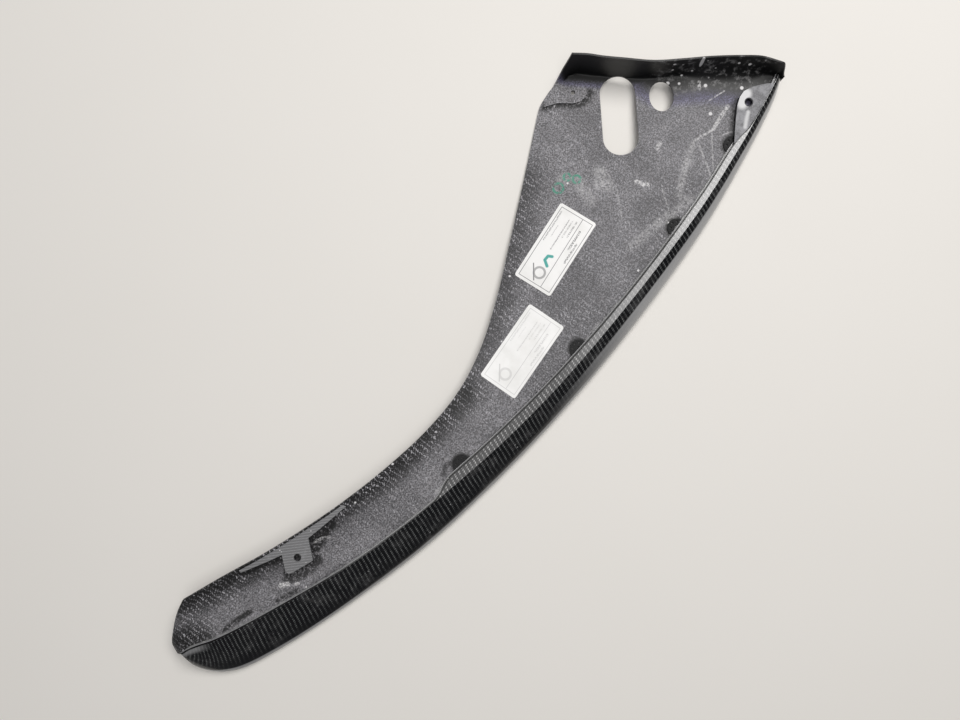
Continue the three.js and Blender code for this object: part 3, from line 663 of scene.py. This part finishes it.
def gloss_carbon():
    """Mould side of the nose shell: clear resin over twill. The weave attribute holds the
    distance along the seam, the distance square across, and the zone: 0 at the seam, 1 at the
    ridge, 2 at the land's end, 3 and 4 at the foot's edges."""
    coat = {"Coat_Weight": 0.8, "Coat_Roughness": 0.08, "Coat_IOR": 1.4}
    f = Finish("gloss_carbon", Specular_IOR_Level=0.3, IOR=1.45, **coat)
    weave = f.node("Attribute", attribute_name="weave").outputs["Vector"]
    split = f.node("SeparateXYZ", {0: weave})
    run, zone = split.outputs[0], split.outputs[2]
    shifting = f.node("TexNoise", {"Vector": f.place, "Scale": 0.06}).outputs["Color"]
    warped = f.vector("ADD", weave, f.vector("SCALE", shifting, 2.4))
    cloth = f.group(TWILL, P=f.vector("SCALE", f.turned(59, warped), 1 / TOW))
    lift, warp = cloth.outputs["Lift"], cloth.outputs["Warp"]
    fibre = f.noise(f.vector("MULTIPLY", warped, (0.6, 5.0, 1.0)), 1.0, 2.0)
    land = f.math("MULTIPLY", f.ramp(zone, 1.0, 1.04), f.ramp(zone, 2.0, 2.06, 1.0, 0.0))
    groove_shade = f.math("MULTIPLY", f.ramp(zone, 1.86, 1.98), f.ramp(zone, 3.6, 3.8, 1.0, 0.0))
    rim = f.ramp(zone, 3.55, 3.8)
    tow = f.math("MULTIPLY", lift, f.mix(warp, 0.18, 1.0))
    tow = f.math("MULTIPLY", tow, f.ramp(fibre, 0.3, 0.7, 0.7, 1.1))
    worn = f.ramp(f.noise(f.place, 0.16, 4.0, 0.7), 0.36, 0.6, 0.3, 1.25)
    dash = f.math("MULTIPLY", f.ramp(tow, 0.3, 0.85), worn)
    # The twill's light dashes are partly its own pattern and partly painted highlights of the fibres,
    # fading out towards the seam.
    shown = f.math("MULTIPLY", dash, f.ramp(zone, 0.42, 0.78, 0.08, 1.0))
    dark = f.tint(shown, (0.002, 0.002, 0.003), (0.13, 0.135, 0.135))
    middle = f.tint(dash, (0.012, 0.012, 0.014), (0.34, 0.34, 0.34))
    # Painted sheen: the land's weave in silver grey; from the middle of the run to the root end the land
    # turns from dark with light dashes to this sheen.
    land_sheen = f.tint(tow, (0.20, 0.20, 0.205), (0.36, 0.36, 0.36))
    light = f.tint(f.ramp(run, 560.0, 740.0), middle, land_sheen)
    base = f.tint(land, dark, light)
    # Painted reflection: the flank near the root and the strip by the seam are light grey where the glossy
    # side reflects the pale floor.
    flank = f.math("MULTIPLY", f.ramp(zone, 0.66, 0.72, 1.0, 0.0), f.ramp(run, 520.0, 740.0))
    seam = f.ramp(zone, 0.34, 0.4, 0.75, 0.0)
    base = f.tint(f.math("MAXIMUM", flank, seam), base, (0.34, 0.34, 0.345))
    # Painted highlight: a light-grey wedge near the ridge at the tail's tip.
    tip_highlight = f.math("MULTIPLY", f.ramp(zone, 0.9, 0.98), f.ramp(run, 4.0, 40.0, 0.5, 0.0))
    base = f.tint(tip_highlight, base, (0.42, 0.42, 0.43))
    # Painted shade: the step down from the land to the foot, near-black.
    base = f.tint(groove_shade, base, (0.003, 0.003, 0.0035))
    # Painted highlight: the foot's outer edge in light grey.
    base = f.tint(rim, base, (0.30, 0.30, 0.31))
    dust = f.math("MULTIPLY", f.specks(f.place, 7.0, 1.4, 0.14), 0.5)
    film = f.ramp(f.noise(f.place, 0.05, 5.0, 0.7), 0.5, 0.75, 0.0, 0.06)
    base = f.tint(f.math("MAXIMUM", dust, film), base, WHITE_DUST)
    f.set(Base_Color=base)
    smear = f.noise(f.place, 0.03, 4.0, 0.6)
    f.set(Roughness=f.mix(land, f.ramp(smear, 0.3, 0.7, 0.22, 0.36), 0.34))
    f.set(Metallic=f.math("MULTIPLY", land, 0.15))
    f.bump(f.math("ADD", f.math("MULTIPLY", lift, 0.5), f.math("MULTIPLY", smear, 0.5)), 0.06)
    return f.material


def bracket_carbon():
    """Flat plate with a fine satin weave and patches of grime."""
    f = Finish("bracket_carbon", Specular_IOR_Level=0.5, IOR=1.5, Coat_Weight=0.25, Coat_Roughness=0.3)
    cloth = f.group(TWILL, P=f.vector("SCALE", f.turned(-7), 1 / 1.1))
    grime = f.noise(f.place, 0.09, 5.0, 0.7)
    tow = f.math("MULTIPLY", cloth.outputs["Lift"], f.mix(cloth.outputs["Warp"], 0.45, 1.0))
    base = f.tint(tow, (0.09, 0.09, 0.095), (0.33, 0.33, 0.34))
    base = f.tint(f.ramp(grime, 0.5, 0.75, 0.0, 0.4), base, (0.32, 0.32, 0.33))
    f.set(Base_Color=f.tint(f.specks(f.place, 6.0, 1.4, 0.15), base, WHITE_DUST))
    f.set(Roughness=f.ramp(grime, 0.3, 0.7, 0.35, 0.6))
    f.bump(f.mix(0.3, cloth.outputs["Lift"], grime), 0.08)
    return f.material


def ear_carbon():
    """The root bracket: silvery satin laminate with resin smears, with painted highlights and painted
    shade on its faces that do not face up.
    """
    f = Finish("ear_carbon", Specular_IOR_Level=0.3, IOR=1.45, Coat_Weight=0.15, Coat_Roughness=0.3)
    cloth = f.group(TWILL, P=f.vector("SCALE", f.turned(20), 1 / TOW))
    blotch = f.noise(f.place, 0.11, 5.0, 0.65)
    normal = f.node("NewGeometry").outputs["Normal"]
    upward = f.math("ABSOLUTE", f.node("SeparateXYZ", {0: normal}).outputs[2])
    base = f.tint(f.ramp(blotch, 0.35, 0.65), (0.07, 0.07, 0.08), (0.27, 0.27, 0.29))
    base = f.tint(f.math("MULTIPLY", cloth.outputs["Lift"], 0.2), base, (0.36, 0.36, 0.37))
    # Painted highlights near the ear's tip and along its edge.
    shine_highlight = f.strokes(f.plan, [
        ([(434, -5), (440, 0), (446, 0)], 6, 6, 0.9),
        ([(432, -17), (424, -22), (417, -27)], 1.2, 3.2, 0.7),
    ])
    base = f.tint(shine_highlight, base, (0.72, 0.72, 0.73))
    # Painted shade: faces that do not face up are darkened to near-black.
    base = f.tint(f.ramp(upward, 0.3, 0.7, 1.0, 0.0), base, (0.012, 0.012, 0.015))
    f.set(Base_Color=f.tint(f.specks(f.place, 5.0, 1.2, 0.2), base, WHITE_DUST))
    f.set(Roughness=f.ramp(blotch, 0.3, 0.7, 0.28, 0.5))
    f.bump(f.math("ADD", f.math("MULTIPLY", cloth.outputs["Lift"], 0.4), blotch), 0.12)
    return f.material


def adhesive():
    """Cured grey structural epoxy."""
    f = Finish("adhesive", Specular_IOR_Level=0.45, IOR=1.5)
    lumps = f.noise(f.place, 0.35, 4.0, 0.6)
    base = f.tint(f.ramp(lumps, 0.3, 0.7), (0.14, 0.14, 0.15), (0.36, 0.36, 0.355))
    f.set(Base_Color=base, Roughness=f.ramp(lumps, 0.3, 0.7, 0.35, 0.6))
    f.bump(lumps, 0.2)
    return f.material


def steel(name, colour, worn, roughness, metallic):
    """Turned or coated steel with fine scratches."""
    f = Finish(name, Specular_IOR_Level=0.5)
    scuff = f.noise(f.place, 0.5, 5.0, 0.7)
    lathe = f.noise(f.vector("MULTIPLY", f.place, (0.3, 0.3, 6.0)), 1.0, 2.0)
    base = f.tint(f.ramp(scuff, 0.55, 0.7), colour, worn)
    f.set(Base_Color=base, Metallic=f.mix(f.ramp(scuff, 0.55, 0.7), metallic, 1.0))
    f.set(Roughness=f.mix(f.ramp(scuff, 0.3, 0.7), roughness, roughness + 0.2))
    f.bump(f.mix(0.5, scuff, lathe), 0.03)
    return f.material


def label(name, centre, angle, print_strength, marked):
    """Laminated paper label: grey rules and bars, an emblem ring, and a pen mark on one."""
    f = Finish(name, Specular_IOR_Level=0.5, IOR=1.5, Coat_Weight=0.3, Coat_Roughness=0.25)
    here = f.turned(-angle, f.vector("SUBTRACT", f.plan, (*centre, 0.0)))
    rules = f.strokes(here, [
        ([(-48, -21.8), (48, -21.8), (48, 21), (-48, 21), (-48, -21.8)], 0.3, 0.5, 0.8),
        ([(-48, -9.5), (48, -8.5)], 0.3, 0.5, 0.8),
        ([(-45, 2), (-28, 13)], 0.8, 0.5, 0.9),
    ])
    bars = f.strokes(here, [
        ([(3, 18.3), (43, 18.3)], 1.4, 0.5, 0.7),
        ([(11, 13), (26, 13)], 0.7, 0.5, 0.5),
        ([(-3, 5), (39, 5)], 0.9, 0.5, 0.8),
        ([(17, 1), (40, 1)], 1.4, 0.5, 0.5),
        ([(20, -4), (41, -4)], 1.6, 0.5, 0.6),
        ([(8, -13.5), (33, -13.5)], 2.2, 0.5, 0.9),
        ([(-8, -18), (18, -18)], 2.0, 0.5, 0.8),
    ])
    broken = f.ramp(f.noise(f.vector("MULTIPLY", here, (1.0, 0.35, 1.0)), 1.1, 2.0), 0.42, 0.55)
    bars = f.math("MULTIPLY", bars, broken)
    from_ring = f.vector("LENGTH", f.vector("SUBTRACT", here, (-34.0, 1.0, 0.0)), output=1)
    away = f.math("ABSOLUTE", f.math("SUBTRACT", from_ring, 6.6))
    ring = f.ramp(away, 1.0, 1.7, 0.6, 0.0)
    ink = f.math("MAXIMUM", f.math("MAXIMUM", rules, bars), ring)
    ink = f.math("MULTIPLY", ink, print_strength)
    stain = f.noise(f.place, 0.03, 4.0, 0.6)
    paper = f.tint(f.ramp(stain, 0.4, 0.7), (0.93, 0.925, 0.92), (0.86, 0.855, 0.84))
    base = f.tint(ink, paper, (0.09, 0.09, 0.10))
    if marked:
        tick = f.strokes(here, [([(-9.5, -1.5), (-11.5, 3), (-17.5, 3.8), (-22.5, -2.5)], 2.4, 1.2, 1.0)])
        base = f.tint(tick, base, (0.02, 0.36, 0.32))
    f.set(Base_Color=base, Roughness=f.ramp(stain, 0.3, 0.7, 0.4, 0.6))
    f.bump(f.noise(f.place, 0.8, 3.0, 0.6), 0.03)
    return f.material


def floor_finish():
    """Pale painted floor."""
    f = Finish("floor", Specular_IOR_Level=0.25)
    cloud = f.noise(f.place, 0.004, 3.0, 0.5)
    f.set(Base_Color=f.tint(cloud, (0.84, 0.815, 0.775), (0.86, 0.835, 0.80)), Roughness=0.6)
    return f.material


disc_spots = []
for k in range(1, 5):
    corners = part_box(f"fastener_disc_{k}")
    spot = ((corners[0] + corners[1]) / 2 - SHIFT) / MM
    disc_spots.append((spot.x, spot.y))
# The skin's soft masks: three sets of lines for each attribute.
SKIN_MARKS = {
    "tone": (
        [  # the cloth's print, strongest beside the free edge
            ([(-445, 48), (-330, 16), (-172, -11), (-43, -8)], 12, 44, 1.0),
            ([(-43, -8), (65, 37), (193, 117)], 6, 40, 0.7),
            ([(-505, 13), (-480, 0)], 24, 40, 1.0),
        ],
        [([(-430, -8), (-330, -32), (-180, -58), (-40, -60)], 14, 22, 1.0)],  # sanded middle
        [([(470, 20), (425, 62), (395, 78)], 26, 16, 1.0)],  # spatter beside the wall
    ),
    "grime": (
        [  # painted shadows under the brackets, along the crease and the pad's and ear's edges, with a few dark marks
            ([(-296, -16), (-262, -8)], 15, 6, 1.0),
            ([(-372, 22), (-350, 13), (-332, 3)], 8, 5, 1.0),
            ([(-345, -23), (-330, -31), (-305, -33)], 7, 5, 0.9),
            ([(-340, -16), (-338, -24), (-303, -31), (-300, -16)], 6, 3, 1.0),
            ([(-315, -12), (-315, -13)], 16, 3, 1.0),
            ([(-442, -12), (-424, -14), (-404, -18)], 4, 3, 1.0),
            ([(-373, -32), (-347, -40)], 3, 3, 0.9),
            ([(-380, -42), (-330, -55), (-290, -60)], 5, 7, 0.7),
            ([(-128, -66), (-118, -60), (-110, -62)], 3, 3, 0.8),
            ([(273, 163), (288, 153), (300, 140), (307, 134), (316, 132), (324, 136)], 6, 4, 1.0),
            ([(398, -26), (416, -10), (428, -1), (438, 4)], 2.4, 3, 0.9),
        ],
        # painted shade on the web under the four fastener discs
        [([spot, spot], 23, 4, 0.95) for spot in disc_spots],
        [  # smears of dust
            ([(363, 3), (333, -12), (311, -26)], 3.4, 4.0, 0.45),
            ([(314, -44), (270, -36), (223, -32)], 3.0, 7.0, 0.4),
            ([(305, -28), (318, -52)], 2.0, 4.0, 0.4),
            ([(230, 40), (236, 70), (225, 84)], 5.0, 9.0, 0.35),
            ([(-147, -76), (-138, -77)], 4.0, 3.0, 0.8),
            ([(262, 58), (252, 48), (257, 40)], 5.0, 9.0, 0.5),
            ([(130, -70), (100, -74), (86, -84)], 2.0, 3.0, 0.5),
        ],
    ),
}

rough = rough_carbon()
gloss = gloss_carbon()
bonding = adhesive()

# ---- the pieces ------------------------------------------------------------------------------


def finish_piece(obj, material=None, node=None):
    if material:
        obj.data.materials.clear()
        obj.data.materials.append(material)
    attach(obj, "root")
    if node:
        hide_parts(node)


def dress(node, material, bevel=0.0):
    """Gives a CAD node its finish and softens its cut edges."""
    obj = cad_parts[node]
    if not obj.material_slots:
        obj.data.materials.append(None)
    for entry in obj.material_slots:
        entry.link = "OBJECT"
        entry.material = material
    if bevel:
        modifier = obj.modifiers.new("edges", "BEVEL")
        modifier.width = bevel * MM
        modifier.segments = 2
        modifier.limit_method = "ANGLE"
        modifier.angle_limit = math.radians(40)


skin = solid_between("skin", skin_outer, skin_inner)
straight = (SLOT[1] - SLOT[2]) / 2
slot_ring = arc(SLOT[2] / 2, SLOT[2] / 2, -90, 90, 33, (straight, 0))
slot_ring += arc(SLOT[2] / 2, SLOT[2] / 2, 90, 270, 33, (-straight, 0))
cut(skin, [
    prism("slot", turned_ring(SLOT[0], SLOT[3], slot_ring)),
    prism("oval", turned_ring(OVAL[0], OVAL[3], arc(OVAL[1] / 2, OVAL[2] / 2, 0, 354, 60))),
    prism("pad hole", turned_ring(PAD_HOLE[0], 0, arc(PAD_HOLE[1] / 2, PAD_HOLE[1] / 2, 0, 345, 24))),
])

coordinates = np.empty(len(skin.data.vertices) * 3, np.float32)
skin.data.vertices.foreach_get("co", coordinates)
skin_plan = ((coordinates.reshape(-1, 3) - np.array(SHIFT)) / MM)[:, :2]
for key, masks in SKIN_MARKS.items():
    marks = np.stack([line_masks(skin_plan, lines) for lines in masks], -1).astype(np.float32)
    skin.data.attributes.new(key, "FLOAT_VECTOR", "POINT").data.foreach_set("vector", marks.ravel())
finish_piece(skin, rough, "outer_skin")

nose = solid_between("nose", nose_inner, nose_outer, smooth_angle=24)
along, across = cloth_lengths(nose_outer)
zone = np.concatenate([np.linspace(0, 1, FLANK_STEPS + 1), [2, 3, 4]])
weave = np.stack([along, across, np.broadcast_to(zone, along.shape)], -1).reshape(-1, 3)
values = np.concatenate([weave, weave]).astype(np.float32)
attribute = nose.data.attributes.new("weave", "FLOAT_VECTOR", "POINT")
attribute.data.foreach_set("vector", values.ravel())
finish_piece(nose, gloss, "nose_shell")


def bead(name, first, last, radius):
    """A bead of squeezed-out resin along the foot's edge."""
    spine = []
    for place in np.linspace(first, last, int((last - first) * 700)):
        point = Station(place).points(foot_end(place) + 0.35, 0)
        spine.append((point[0], point[1], web_top(place) + radius * 0.4))
    spine = np.array(spine)
    tangent = np.gradient(spine, axis=0)
    side = np.cross(tangent, (0, 0, 1))
    side /= np.linalg.norm(side, axis=1, keepdims=True)
    sides = 8
    wobble = 1 + 0.25 * np.sin(np.arange(len(spine)) * 0.9) * np.sin(np.arange(len(spine)) * 0.37)
    ends = np.minimum(1, np.arange(len(spine)) / 6)
    thick = radius * wobble * np.sqrt(np.maximum(0.02, ends * ends[::-1]))
    points, faces = [], []
    for k in range(sides):
        turn = 2 * math.pi * k / sides
        outward = side * math.cos(turn) + np.array((0, 0, 1)) * math.sin(turn)
        points.append(spine + outward * thick[:, None])
    grid = np.stack(points, 1).reshape(-1, 3)
    for i in range(len(spine) - 1):
        for k in range(sides):
            after = (k + 1) % sides
            faces.append((i * sides + k, i * sides + after, (i + 1) * sides + after, (i + 1) * sides + k))
    faces.append(tuple(range(sides)))
    faces.append(tuple(range(len(grid) - sides, len(grid))))
    piece = place_mesh(name, grid, faces, 60)
    finish_piece(piece, bonding)


bead("resin_bead_tail", 0.03, 0.385, 0.5)
bead("resin_bead_root", 0.66, 0.905, 0.55)

dress("seam_backing_strip", rough)
black = steel("disc_steel", (0.006, 0.006, 0.007), (0.05, 0.05, 0.05), 0.65, 0.0)
for k in range(1, 5):
    dress(f"fastener_disc_{k}", black, 0.15)
for k in range(1, 6):
    dress(f"foot_bond_{k}", bonding)
dress("hardpoint_pad", rough, 0.5)
dress("tail_bracket", bracket_carbon(), 0.35)
dress("tail_bracket_bond", bonding)
dress("root_bracket", ear_carbon(), 0.35)
dress("root_bracket_bond", bonding)
dress("root_bracket_sleeve", steel("sleeve_steel", (0.02, 0.02, 0.024), (0.12, 0.12, 0.12), 0.4, 0.4), 0.2)
dress("label_upper", label("label_upper", (158, 30), 12.2, 1.0, True), 0.08)
dress("label_lower", label("label_lower", (43, -28), 10.2, 0.35, False), 0.08)

# ---- floor, light and camera -----------------------------------------------------------------

UP = Vector((1, 1, 0)).normalized()  # the picture's up and right, lying on the floor
RIGHT = Vector((1, -1, 0)).normalized()

FLOOR, REACH = -0.0005, 6
floor_ring = [(x * REACH, y * REACH, FLOOR) for x, y in ((-1, -1), (1, -1), (1, 1), (-1, 1))]
mesh = bpy.data.meshes.new("floor")
mesh.from_pydata(floor_ring, [], [(0, 1, 2, 3)])
floor = link(bpy.data.objects.new("floor", mesh))
mesh.materials.append(floor_finish())


def softbox(name, spot, aim, size, power):
    data = bpy.data.lights.new(name, "AREA")
    data.shape = "DISK"
    data.size = size
    data.energy = power
    data.color = (1.0, 0.985, 0.965)
    lamp = link(bpy.data.objects.new(name, data))
    lamp.location = spot
    lamp.rotation_euler = (Vector(aim) - Vector(spot)).to_track_quat("-Z", "Y").to_euler()


# A key from the picture's upper right and a broad fill overhead.
softbox("key", UP * 1.3 + RIGHT * 0.75 + Vector((0, 0, 2.3)), (0.1, 0.05, 0), 1.5, 43)
softbox("fill", Vector((0, 0, 3.4)), (0, 0, 0), 2.6, 44.5)

world = bpy.data.worlds.new("studio")
bpy.context.scene.world = world
world.use_nodes = True
world.node_tree.nodes["Background"].inputs[0].default_value = (0.94, 0.96, 1.0, 1)
world.node_tree.nodes["Background"].inputs[1].default_value = 0.12
bpy.context.scene.view_settings.view_transform = "Standard"

CAMERA_HEIGHT = 0.950
SENSOR_WIDTH = 36
FOCAL_SHARE = 775 / 960  # the lens's focal length as a share of the sensor's width
CAMERA_TURN = -45

data = bpy.data.cameras.new("camera")
data.sensor_width = SENSOR_WIDTH
data.lens = FOCAL_SHARE * SENSOR_WIDTH
data.clip_start = 0.01
camera = link(bpy.data.objects.new("camera", data))
turn = Matrix.Rotation(math.radians(CAMERA_TURN), 4, "Z")
camera.matrix_world = Matrix.Translation(SHIFT + Vector((0, 0, CAMERA_HEIGHT))) @ turn
bpy.context.scene.camera = camera
